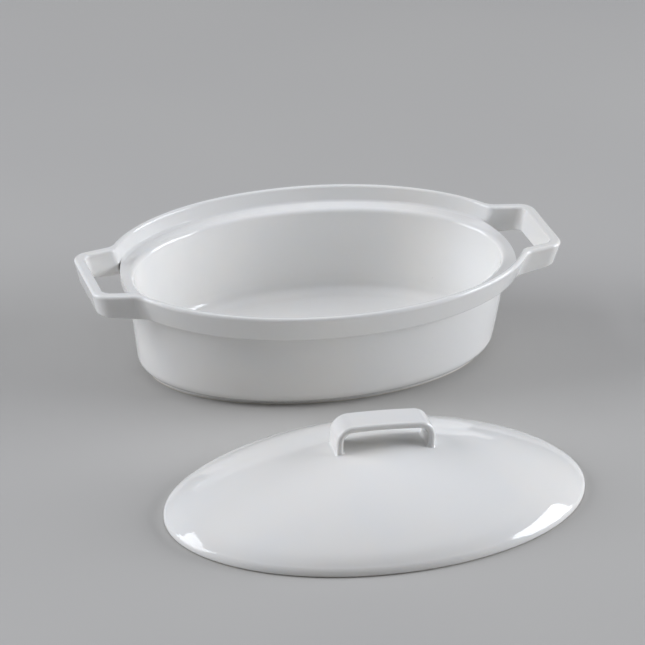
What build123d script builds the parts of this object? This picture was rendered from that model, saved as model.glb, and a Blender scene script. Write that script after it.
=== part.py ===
"""Oval covered casserole in white porcelain.

The open dish is moulded in one: a tapering oval bowl on a recessed foot ring, with a
flared collar round its rim that turns outwards at both ends into a loop handle. Inside
the collar a flat ledge carries the lid. The lid is a shallow oval dome with a separately
formed strap handle luted on. It lies on the table in front of the dish.

Origin: centre of the dish's foot on the table. X runs along the dish, +Z is up.
"""
import os
from math import cos, hypot, radians, sin, tan

from build123d import *

os.makedirs("parts", exist_ok=True)

# ---- dish, mm ----
RIM_L, RIM_W = 165.0, 111.8   # half length and half width over the collar's top edge
DISH_H = 88.0                 # table to the collar's top
COLLAR_H = 21.4               # height of the collar's outer face
COLLAR_LEAN = 8.2             # how far that face leans in towards its lower edge
LIP = 5.0                     # thickness of the collar at its top
LIP_R = 2.2                   # rounding of the collar's top edges
HEM_R = 1.6                   # rounding of its lower edges
GALLERY = 12.2                # depth of the lid ledge below the top
INNER_LEAN = 4.0              # how far the collar's inner face leans in, down to the ledge
LEDGE_IN = 8.0                # the ledge runs this far into the collar's wall
LEDGE_END, LEDGE_BOW = 152.0, 125.0   # half axes of the curve it ends on inside the loops
LEDGE_T = 5.6                 # thickness of the ledge
LEDGE_STOP = 4.0              # its root in the collar's wall stops this far below the top
LEDGE_R = 2.8                 # fillet between the ledge and the collar's inner face
MOUTH_IN = 21.6               # cavity wall at the mouth, in from the rim's outer edge
MOUTH_R = 3.8                 # rounding of the ledge's inner edge
FLOOR_IN = 31.5               # cavity wall produced down to the floor
FLOOR_Z = 8.6                 # height of the cavity floor
FLOOR_R = 13.0                # fillet between wall and floor
COVE_R = 3.0                  # fillet where the wall meets the ledge's underside
BODY_TOP_IN = 17.0            # outside wall at the underside of the ledge
BODY_BOT_IN = 26.2            # outside wall produced down to the bowl's underside
BODY_R = 10.0                 # rounding of the outside bottom edge
UNDER_Z = 2.4                 # the bowl's underside, above the table
FOOT_IN, FOOT_T = 32.6, 6.5   # foot ring: in from the rim's outer edge, and its width

# ---- loop handles, moulded in one with the collar, mm ----
LOOP_END = 184.1              # dish centre to the outer bar's top edge
LOOP_HALF = 36.8              # half width at the bar, over the arms' outer faces
LOOP_TAPER = 11.4             # each arm closes in towards the bar, degrees
LOOP_LEAN = 5.2               # how far the bar's outer face leans in over the collar's height
LOOP_LEAN_IN = 4.2            # the same for its inner face
ARM_LEAN, ARM_LEAN_IN = 3.0, 0.8   # and for the arms' outer and inner faces
LOOP_LIFT = 3.2               # the underside rises this much from the roots to the bar
LOOP_RUN = 36.0               # length of that rise
LOOP_REACH = 60.0             # how far in from the bar the arms are drawn, well into the collar
ARM_T, BAR_T = 6.4, 8.1       # thickness of an arm and of the outer bar, at the top
CORNER_R, CORNER_R_IN = 12.4, 6.8   # corners of the loops in plan, outside and inside
ROOT_R, CREASE_R = 13.0, 7.0  # where the arms leave the collar, outside and inside

# ---- lid, mm, about its own centre ----
LID_L, LID_W = 154.8, 98.9    # half length and half width
LID_H = 47.8                  # table to the top of the dome
LID_T = 5.0                   # wall of the dome
LID_EDGE = 2.4                # height of the upright edge
LID_EDGE_R = 1.6              # rounding under it
LID_BEND = 4.6                # the dome's curve bends down to it round a corner this high
LID_SEAT = 8.0                # width of the flat ring it stands on
LID_FOOT = 0.6                # the hollow starts this far above that ring
LID_SPRING = 3.0              # height at which the dome's curve would reach the edge
DOME_Q, DOME_C = 0.65, 0.266   # shape of the dome: round on top, steep near the edge
DOME_STEPS = (0.0, 0.2, 0.4, 0.6, 0.75, 0.87, 0.945, 0.985)   # where its curve is laid out
DOME_STEEP = 0.8              # slope at the last of these
LID_X, LID_Y, LID_TURN = -25.0, -223.1, 1.4   # where it lies, and its turn in degrees

# ---- strap handle on the lid, mm ----
STRAP_L = 72.0                # length over the legs
STRAP_W = 22.4                # width
STRAP_T = 5.2                 # thickness
STRAP_RISE = 19.7             # top of the strap above the top of the dome
STRAP_CORNER = 12.6           # outer corner rounding, side view
STRAP_EDGE = 2.3              # rounding along the strap's edges
LUTE_R = 2.0                  # slip worked round the feet
STRAP_SINK = 5.0              # the feet end this far below the top of the dome
STRAP_BOW = 1.2               # the middle of the strap is bowed up by this much
STRAP_DIP = 0.9               # the right shoulder is this much low, the left as much high
PAD_GAP = 0.15                # the slip's foot ends this far below the dome's surface
PAD_EDGE = 0.4                # and the pad under it runs this much wider
STRAP_X, STRAP_TURN = 2.6, -4.6   # off the middle of the lid, and out of line with it, degrees

CLEAR = 5.0                   # cutting shapes run this far past what they cut
NEAR = 0.1                    # edges are picked within this distance

COLLAR_Z = DISH_H - COLLAR_H
LEDGE_Z = DISH_H - GALLERY
LEDGE_UNDER = LEDGE_Z - LEDGE_T


def oval(inset, mode=Mode.ADD):
    """Rim oval moved in by an even inset, as a face of the current sketch."""
    Ellipse(RIM_L - inset, RIM_W - inset, mode=mode)


def loops(end, half):
    """Both loops in plan, closing in towards their ends, as faces of the sketch."""
    grow = LOOP_REACH * tan(radians(LOOP_TAPER))
    for side in (1, -1):
        Polygon(
            (side * (end - LOOP_REACH), half + grow), (side * end, half),
            (side * end, -half), (side * (end - LOOP_REACH), -half - grow),
            align=None,
        )


def corners(sketch, end):
    """Corners of the loops at their outer ends."""
    return sketch.vertices().filter_by(lambda v: abs(v.X) > end - NEAR)


def roots(sketch, end):
    """Corners where the arms meet the oval."""
    return sketch.vertices().filter_by(lambda v: abs(v.X) < end - 20)


def between(part, low, high):
    """Edges that lie wholly between two heights."""
    return part.edges().filter_by(
        lambda e: e.bounding_box().min.Z > low and e.bounding_box().max.Z < high
    )


def lid_dome(r, half_l, height, base):
    """Height of a dome of that half length at distance r along it."""
    square = (r / half_l) ** 2
    return base + (height - base) * (1 - square) ** DOME_Q * (1 - DOME_C * square)


def under_strap(along, across):
    """Height of the lid's outer surface below a point of the strap's own plan."""
    turn = radians(STRAP_TURN)
    x = STRAP_X + along * cos(turn) - across * sin(turn)
    y = along * sin(turn) + across * cos(turn)
    return lid_dome(hypot(x, y * LID_L / LID_W), LID_L, LID_H, LID_SPRING)


# ---- inside of the bowl, with its floor fillet ----
with BuildPart() as cavity:
    rise = (MOUTH_IN - FLOOR_IN) / (LEDGE_Z - FLOOR_Z)
    with BuildSketch(Plane.XY.offset(FLOOR_Z)):
        oval(FLOOR_IN)
    with BuildSketch(Plane.XY.offset(LEDGE_Z + 2)):
        oval(MOUTH_IN + 2 * rise)
    loft(ruled=True)
    fillet(cavity.edges().sort_by(Axis.Z)[0], FLOOR_R)

# ---- lid ledge with the cove up to the collar's inner face ----
with BuildPart() as gallery:
    for z in (LEDGE_Z, DISH_H + 1):
        with BuildSketch(Plane.XY.offset(z)):
            oval(LIP + INNER_LEAN * (DISH_H - z) / GALLERY)
    loft(ruled=True)
    fillet(gallery.edges().sort_by(Axis.Z)[0], LEDGE_R)
with BuildPart() as ledge:
    with BuildSketch(Plane.XY.offset(LEDGE_UNDER)):
        oval(LEDGE_IN)
        Ellipse(LEDGE_END, LEDGE_BOW, mode=Mode.INTERSECT)
    extrude(amount=DISH_H - LEDGE_STOP - LEDGE_UNDER)
    add(gallery.part, mode=Mode.SUBTRACT)

# ---- the dish: bowl, collar and both loop handles, one casting ----
with BuildPart() as dish:
    # collar and loops as one solid block, flaring upwards
    for z in (COLLAR_Z, DISH_H):
        with BuildSketch(Plane.XY.offset(z)) as sk:
            drop = (DISH_H - z) / COLLAR_H
            end = LOOP_END - LOOP_LEAN * drop
            oval(COLLAR_LEAN * drop)
            loops(end, LOOP_HALF - ARM_LEAN * drop)
            fillet(corners(sk, end), CORNER_R)
            fillet(roots(sk, end), ROOT_R)
    loft(ruled=True)
    # inside of the collar and of the loops, cut right through
    for z in (COLLAR_Z - 1, DISH_H + 1):
        with BuildSketch(Plane.XY.offset(z)) as sk:
            drop = (DISH_H - z) / COLLAR_H
            end = LOOP_END - BAR_T - LOOP_LEAN_IN * drop
            oval(LIP + INNER_LEAN * (DISH_H - z) / GALLERY)
            loops(end, LOOP_HALF - ARM_T / cos(radians(LOOP_TAPER)) - ARM_LEAN_IN * drop)
            fillet(corners(sk, end), CORNER_R_IN)
            fillet(roots(sk, end), CREASE_R)
    loft(ruled=True, mode=Mode.SUBTRACT)
    # the loops' underside rises towards the bar
    with BuildSketch(Plane.XZ):
        for side in (1, -1):
            Polygon(
                (side * (LOOP_END - LOOP_RUN), COLLAR_Z), (side * LOOP_END, COLLAR_Z + LOOP_LIFT),
                (side * LOOP_END, COLLAR_Z - CLEAR), (side * (LOOP_END - LOOP_RUN), COLLAR_Z - CLEAR),
                align=None,
            )
    extrude(amount=LOOP_HALF + 4 * CLEAR, both=True, mode=Mode.SUBTRACT)
    # lid ledge, ending in a shallow curve inside each loop
    add(ledge.part)
    # bowl and foot ring
    with BuildSketch(Plane.XY.offset(UNDER_Z)):
        oval(BODY_BOT_IN)
    with BuildSketch(Plane.XY.offset(LEDGE_UNDER)):
        oval(BODY_TOP_IN)
    loft(ruled=True)
    under = dish.faces().filter_by(GeomType.PLANE).sort_by(Axis.Z)[0]
    fillet(under.edges(), BODY_R)
    with BuildSketch():
        oval(FOOT_IN)
        oval(FOOT_IN + FOOT_T, Mode.SUBTRACT)
    extrude(amount=UNDER_Z + 2)
    # cavity
    add(cavity.part, mode=Mode.SUBTRACT)
    # rounded edges: mouth, lip, under the ledge, hem of the collar and loops
    fillet(between(dish, LEDGE_Z - NEAR, LEDGE_Z + NEAR).sort_by(SortBy.LENGTH)[-1], MOUTH_R)
    fillet(between(dish, DISH_H - NEAR, DISH_H + NEAR), LIP_R)
    cove = between(dish, LEDGE_UNDER - NEAR, LEDGE_UNDER + NEAR)
    fillet(cove.sort_by(SortBy.LENGTH)[-1], COVE_R)
    hem = between(dish, COLLAR_Z - NEAR, COLLAR_Z + LOOP_LIFT + 2 * NEAR)
    fillet(hem.filter_by(lambda e: e.length < 500), HEM_R)
dish.part.label = "dish"
export_step(dish.part, "parts/dish.step")

# ---- the lid: an oval dome of even wall, standing on a flat ring ----
LID_PLANE = Plane.XY.move(Location((LID_X, LID_Y, 0), (0, 0, LID_TURN)))
with BuildPart() as dome:
    inner_l, inner_h = LID_L - LID_SEAT, LID_H - LID_T
    with BuildSketch(Plane.XZ) as section:
        with BuildLine():
            outer = [(LID_L * f, lid_dome(LID_L * f, LID_L, LID_H, LID_SPRING))
                     for f in DOME_STEPS]
            top = Spline(*outer, tangents=[(1, 0), (1, -DOME_STEEP)])
            inner = [(inner_l * f, lid_dome(inner_l * f, inner_l, inner_h, LID_FOOT))
                     for f in DOME_STEPS]
            under = Spline(*inner, tangents=[(1, 0), (1, -DOME_STEEP)])
            Bezier(top @ 1, (LID_L, LID_BEND), (LID_L, LID_EDGE))
            Polyline((LID_L, LID_EDGE), (LID_L, 0), (inner_l, 0), (inner_l, LID_FOOT), under @ 1)
            Line(under @ 0, top @ 0)
        make_face()
        rim = section.vertices().filter_by(lambda v: v.X > LID_L - 0.01)
        fillet(rim.sort_by(Axis.Y)[0], LID_EDGE_R)
    revolve(axis=Axis.Z)
    scale(by=(1, LID_W / LID_L, 1))
with BuildPart() as lid:
    add(dome.part.moved(LID_PLANE.location))
lid.part.label = "lid"
export_step(lid.part, "parts/lid.step")

# ---- strap handle: a bent strap with rounded edges, luted onto the dome ----
STRAP_TOP = LID_H + STRAP_RISE
FOOT_Z = LID_H - STRAP_SINK
STRAP_PLANE = LID_PLANE.move(Location((STRAP_X, 0, 0), (0, 0, STRAP_TURN)))
with BuildPart() as strap:
    with BuildSketch(Plane.XZ) as side:
        with BuildLine():
            for inset in (0, STRAP_T):
                half, top = STRAP_L / 2 - inset, STRAP_TOP - inset
                left = (-half, top - STRAP_BOW + STRAP_DIP)
                right = (half, top - STRAP_BOW - STRAP_DIP)
                Line((-half, FOOT_Z), left)
                ThreePointArc(left, (0, top), right)
                Line(right, (half, FOOT_Z))
            for end in (1, -1):
                Line((end * STRAP_L / 2, FOOT_Z), (end * (STRAP_L / 2 - STRAP_T), FOOT_Z))
        make_face()
        shoulders = side.vertices().filter_by(lambda v: v.Y > FOOT_Z + 1)
        outside = shoulders.filter_by(lambda v: abs(v.X) > STRAP_L / 2 - 1)
        fillet(outside, STRAP_CORNER)
        inside = side.vertices().filter_by(
            lambda v: v.Y > FOOT_Z + 1 and abs(abs(v.X) - STRAP_L / 2 + STRAP_T) < 0.01
        )
        fillet(inside, STRAP_CORNER - STRAP_T)
    extrude(amount=STRAP_W / 2, both=True)
    rims = strap.edges().filter_by(
        lambda e: abs(abs(e.center().Y) - STRAP_W / 2) < 0.01 and e.center().Z > FOOT_Z + 0.1
    )
    fillet(rims, STRAP_EDGE)
    # feet sunk into the dome's wall, with slip worked round them: a fillet onto a pad
    # that follows the dome just below its surface
    spread = LUTE_R + PAD_EDGE
    pad_w = STRAP_W / 2 + spread
    for end in (1, -1):
        for x in (end * (STRAP_L / 2 - STRAP_T - spread), end * (STRAP_L / 2 + spread)):
            with BuildSketch(Plane.YZ.offset(x)):
                with BuildLine():
                    rise = [(y, under_strap(x, y) - PAD_GAP) for y in (-pad_w, 0, pad_w)]
                    arc = ThreePointArc(*rise)
                    Polyline(arc @ 0, (-pad_w, FOOT_Z), (pad_w, FOOT_Z), arc @ 1)
                make_face()
        loft(ruled=True)
    feet = strap.edges().filter_by(
        lambda e: abs(e.center().Z - under_strap(*tuple(e.center())[:2]) + PAD_GAP) < 0.5
        and STRAP_L / 2 - STRAP_T - 0.5 < abs(e.center().X) < STRAP_L / 2 + 0.5
        and abs(e.center().Y) < STRAP_W / 2 + 0.5
    )
    fillet(feet, LUTE_R)
with BuildPart() as lid_handle:
    add(strap.part.moved(STRAP_PLANE.location))
lid_handle.part.label = "lid_handle"
export_step(lid_handle.part, "parts/lid_handle.step")
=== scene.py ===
"""Covered casserole in white porcelain: glazes, floor, studio light and camera."""
from math import cos, radians, sin

import bpy
from mathutils import Matrix, Vector

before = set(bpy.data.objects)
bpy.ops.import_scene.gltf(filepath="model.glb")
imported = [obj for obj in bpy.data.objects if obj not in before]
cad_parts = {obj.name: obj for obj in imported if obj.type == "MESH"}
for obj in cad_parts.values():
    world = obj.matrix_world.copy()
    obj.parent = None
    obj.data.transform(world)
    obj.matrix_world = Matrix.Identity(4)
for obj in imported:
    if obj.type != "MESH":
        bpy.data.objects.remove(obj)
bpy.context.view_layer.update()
MM = 0.001   # every size is in metres

# ---- camera ----
ELEVATION = radians(27.8)            # above the table
AZIMUTH = radians(18.3)              # from straight across the dish, towards its left end
ROLL = radians(1.91)
DISTANCE = 2.632
FOCAL_MM, SENSOR_MM = 191.7, 36
AIM_RIGHT, AIM_UP = 0.0039, 0.0221   # aim point, across and up the view from the origin

# ---- glaze ----
WHITE_THIN = (0.905, 0.89, 0.86, 1)       # where the glaze is thin, the warm body shows through
WHITE_THICK = (0.882, 0.878, 0.862, 1)    # a thick glaze is a little cooler
CLOUD_SIZE = 0.07                         # patches of thick and thin glaze
CLOUD_SPAN = (0.35, 0.65)                 # noise values at which a patch starts and is full
CREASE_SHADE = (0.24, 0.23, 0.22, 1)            # painted shade: dark grey where shadow falls in a crease
CREASE_REACH = 6 * MM                     # a wall nearer than this makes a crease
CREASE_SPAN = (0.10, 0.50)                # open share of the surroundings: full painted shade, none
CREASE_SAMPLES = 8
SPECK = (0.16, 0.13, 0.10, 1)             # iron specks fired into the glaze
SPECK_CELL = 0.032                        # one speck to a cube of this size, few at a surface
SPECK_R, SPECK_CORE_R = 0.35 * MM, 0.21 * MM  # where it ends, and where it is darkest
GLOSS_SIZE, GLOSS = 0.03, (0.045, 0.085)  # slow changes of roughness, and their range
WAVE_SIZE, WAVE_DEPTH = 0.022, 0.10 * MM      # slow waves of the glazed surface
PEEL_SIZE, PEEL_DEPTH = 1.6 * MM, 0.004 * MM  # fine orange peel
GLAZE_IOR = 1.52
SCATTER, SCATTER_DEPTH = 0.12, 1.5 * MM   # light that enters the porcelain, and how far
SCATTER_RGB = (1.0, 0.85, 0.7)            # red light goes deepest

# ---- bare clay, where the glaze is wiped off to stand in the kiln ----
BARE_BELOW = 0.6 * MM
BISQUE_DARK, BISQUE = (0.60, 0.53, 0.44, 1), (0.72, 0.66, 0.57, 1)
GRAIN_SIZE, GRAIN = 0.8 * MM, (0.85, 1.0)     # grain of the clay, and its share of BISQUE
CLAY_ROUGHNESS = 0.75

# ---- floor ----
FLOOR_SIZE = 30
FLOOR_DARK, FLOOR_LIGHT = (0.51, 0.50, 0.485, 1), (0.53, 0.52, 0.50, 1)
FLOOR_PATCH = 0.5
FLOOR_ROUGHNESS = 0.8

# ---- noise ----
SMOOTH, MEDIUM, FINE = 1.0, 2.0, 4.0      # how much detail a noise has
NOISE_SPAN = (0.3, 0.7)                   # nearly all of a noise's values lie in this range
# the Mix node's sockets for each kind of value: factor, A, B and result
MIX_SOCKETS = {"FLOAT": (0, 2, 3, 0), "RGBA": (0, 6, 7, 2)}

# ---- light ----
SOFTBOXES = {                             # place, size and watts
    "left_box": ((-2.55, 0.53, 1.36), (1.87, 1.87), 61),
    "right_box": ((2.55, -0.66, 0.95), (1.79, 1.36), 61),
}
BOX_AIM = (0, -0.08, 0.05)                # between the dish and the lid
BOX_COLOUR = (0.92, 0.945, 1.0)
SKY = 1.12                                # soft overhead light
SKY_COLOUR = (0.93, 0.95, 1.0, 1)
SKY_SPAN = (sin(radians(42)), sin(radians(86)))   # sines of the heights: none, full
EXPOSURE, GAMMA = 0.10, 0.90              # a gamma below 1 deepens the shadows


def make_camera():
    right = Vector((cos(AZIMUTH), -sin(AZIMUTH), 0))
    level = Vector((sin(AZIMUTH), cos(AZIMUTH), 0))
    ahead = level * cos(ELEVATION) - Vector((0, 0, sin(ELEVATION)))
    up = right.cross(ahead)
    aim = right * AIM_RIGHT + up * AIM_UP
    turned_right = right * cos(ROLL) + up * sin(ROLL)
    turned_up = up * cos(ROLL) - right * sin(ROLL)
    axes = Matrix((turned_right, turned_up, -ahead)).transposed()
    data = bpy.data.cameras.new("camera")
    data.lens = FOCAL_MM
    data.sensor_width = SENSOR_MM
    camera = bpy.data.objects.new("camera", data)
    camera.matrix_world = Matrix.Translation(aim - ahead * DISTANCE) @ axes.to_4x4()
    bpy.context.collection.objects.link(camera)
    bpy.context.scene.camera = camera


def make_softbox(name, place, size, watts):
    data = bpy.data.lights.new(name, "AREA")
    data.shape = "RECTANGLE"
    data.size, data.size_y = size
    data.energy = watts
    data.color = BOX_COLOUR
    light = bpy.data.objects.new(name, data)
    light.location = place
    light.rotation_euler = (Vector(BOX_AIM) - Vector(place)).to_track_quat("-Z", "Y").to_euler()
    bpy.context.collection.objects.link(light)


def make_world():
    """Overhead light that fades out smoothly towards the horizon."""
    world = bpy.data.worlds.new("studio")
    bpy.context.scene.world = world
    world.use_nodes = True
    tree = world.node_tree
    direction = tree.nodes.new("ShaderNodeTexCoord")
    split = tree.nodes.new("ShaderNodeSeparateXYZ")
    fade = tree.nodes.new("ShaderNodeMapRange")
    fade.interpolation_type = "SMOOTHSTEP"
    fade.inputs["From Min"].default_value = SKY_SPAN[0]
    fade.inputs["From Max"].default_value = SKY_SPAN[1]
    fade.inputs["To Max"].default_value = SKY
    background = tree.nodes["Background"]
    background.inputs["Color"].default_value = SKY_COLOUR
    tree.links.new(direction.outputs["Generated"], split.inputs[0])
    tree.links.new(split.outputs["Z"], fade.inputs["Value"])
    tree.links.new(fade.outputs["Result"], background.inputs["Strength"])


def set_view():
    view = bpy.context.scene.view_settings
    view.view_transform = "Standard"
    view.exposure = EXPOSURE
    view.gamma = GAMMA


class Nodes:
    """A material's node tree, with short ways to add and link its nodes."""

    def __init__(self, name):
        self.material = bpy.data.materials.new(name)
        self.material.use_nodes = True
        self.tree = self.material.node_tree
        self.shader = self.tree.nodes["Principled BSDF"].inputs
        self.place = self.tree.nodes.new("ShaderNodeTexCoord").outputs["Object"]

    def put(self, socket, value):
        """Links value to the socket if it is another node's output, or else sets it."""
        if isinstance(value, bpy.types.NodeSocket):
            self.tree.links.new(value, socket)
        else:
            socket.default_value = value

    def add(self, kind, settings=None, **inputs):
        """Adds a node. An underscore in an input's name stands for a space."""
        node = self.tree.nodes.new("ShaderNode" + kind)
        for key, value in (settings or {}).items():
            setattr(node, key, value)
        for key, value in inputs.items():
            self.put(node.inputs[key.replace("_", " ")], value)
        return node

    def noise(self, size, detail=MEDIUM):
        return self.add("TexNoise", Vector=self.place, Scale=1 / size, Detail=detail).outputs["Fac"]

    def ramp(self, value, span, result=(0.0, 1.0)):
        """Goes smoothly from the first result to the second as value crosses the span."""
        node = self.add("MapRange", {"interpolation_type": "SMOOTHSTEP"}, Value=value,
                        From_Min=span[0], From_Max=span[1], To_Min=result[0], To_Max=result[1])
        return node.outputs["Result"]

    def mix(self, factor, value_a, value_b, kind="RGBA"):
        node = self.add("Mix", {"data_type": kind})
        *inputs, result = MIX_SOCKETS[kind]
        for socket, value in zip(inputs, (factor, value_a, value_b)):
            self.put(node.inputs[socket], value)
        return node.outputs[result]

    def bump(self, height, depth):
        return self.add("Bump", Height=height, Distance=depth)


def glaze_colour(nodes):
    """White with clouds of thicker glaze, iron specks, and painted shade in the creases."""
    cloud = nodes.ramp(nodes.noise(CLOUD_SIZE), CLOUD_SPAN)
    white = nodes.mix(cloud, WHITE_THIN, WHITE_THICK)
    cells = nodes.add("TexVoronoi", Vector=nodes.place, Scale=1 / SPECK_CELL)
    edge = (SPECK_CORE_R / SPECK_CELL, SPECK_R / SPECK_CELL)
    speck = nodes.ramp(cells.outputs["Distance"], edge, (1.0, 0.0))
    speckled = nodes.mix(speck, white, SPECK)
    # painted shade: ambient occlusion darkens the colour in creases and under overhangs
    crease = nodes.add("AmbientOcclusion", {"samples": CREASE_SAMPLES}, Distance=CREASE_REACH)
    painted_shade = nodes.ramp(crease.outputs["AO"], CREASE_SPAN, (1.0, 0.0))
    return nodes.mix(painted_shade, speckled, CREASE_SHADE)


def clay_colour(nodes):
    grain = nodes.ramp(nodes.noise(GRAIN_SIZE, FINE), NOISE_SPAN, GRAIN)
    return nodes.mix(grain, BISQUE_DARK, BISQUE)


def glaze_surface(nodes):
    """Orange peel on top of slow waves."""
    waves = nodes.bump(nodes.noise(WAVE_SIZE, SMOOTH), WAVE_DEPTH)
    peel = nodes.bump(nodes.noise(PEEL_SIZE, SMOOTH), PEEL_DEPTH)
    nodes.put(peel.inputs["Normal"], waves.outputs["Normal"])
    return peel.outputs["Normal"]


def glaze(name):
    """Glossy white glaze, bare and matt on the lowest faces, which stand in the kiln."""
    nodes = Nodes(name)
    height = nodes.add("SeparateXYZ", Vector=nodes.place).outputs["Z"]
    bare = nodes.ramp(height, (BARE_BELOW / 2, BARE_BELOW), (1.0, 0.0))
    gloss = nodes.ramp(nodes.noise(GLOSS_SIZE), NOISE_SPAN, GLOSS)
    colour = nodes.mix(bare, glaze_colour(nodes), clay_colour(nodes))
    nodes.put(nodes.shader["Base Color"], colour)
    nodes.put(nodes.shader["Roughness"], nodes.mix(bare, gloss, CLAY_ROUGHNESS, "FLOAT"))
    nodes.put(nodes.shader["Normal"], glaze_surface(nodes))
    nodes.put(nodes.shader["IOR"], GLAZE_IOR)
    nodes.put(nodes.shader["Subsurface Weight"], SCATTER)
    nodes.put(nodes.shader["Subsurface Radius"], SCATTER_RGB)
    nodes.put(nodes.shader["Subsurface Scale"], SCATTER_DEPTH)
    return nodes.material


def floor_paper():
    """Matt pale paper with faint patches."""
    nodes = Nodes("floor")
    tone = nodes.ramp(nodes.noise(FLOOR_PATCH), NOISE_SPAN)
    nodes.put(nodes.shader["Base Color"], nodes.mix(tone, FLOOR_DARK, FLOOR_LIGHT))
    nodes.put(nodes.shader["Roughness"], FLOOR_ROUGHNESS)
    return nodes.material


def make_floor():
    bpy.ops.mesh.primitive_plane_add(size=FLOOR_SIZE, location=(0, 0, 0))
    floor = bpy.context.object
    floor.name = "floor"
    floor.data.materials.append(floor_paper())


make_camera()
make_floor()
make_world()
for name, softbox in SOFTBOXES.items():
    make_softbox(name, *softbox)
set_view()

MATERIALS = {"dish_glaze": glaze("dish_glaze"), "lid_glaze": glaze("lid_glaze")}
NODE_SLOT = {"dish": "dish_glaze", "lid": "lid_glaze", "lid_handle": "lid_glaze"}
for name, slot in NODE_SLOT.items():
    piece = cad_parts[name]
    piece.data.materials.clear()
    piece.data.materials.append(MATERIALS[slot])
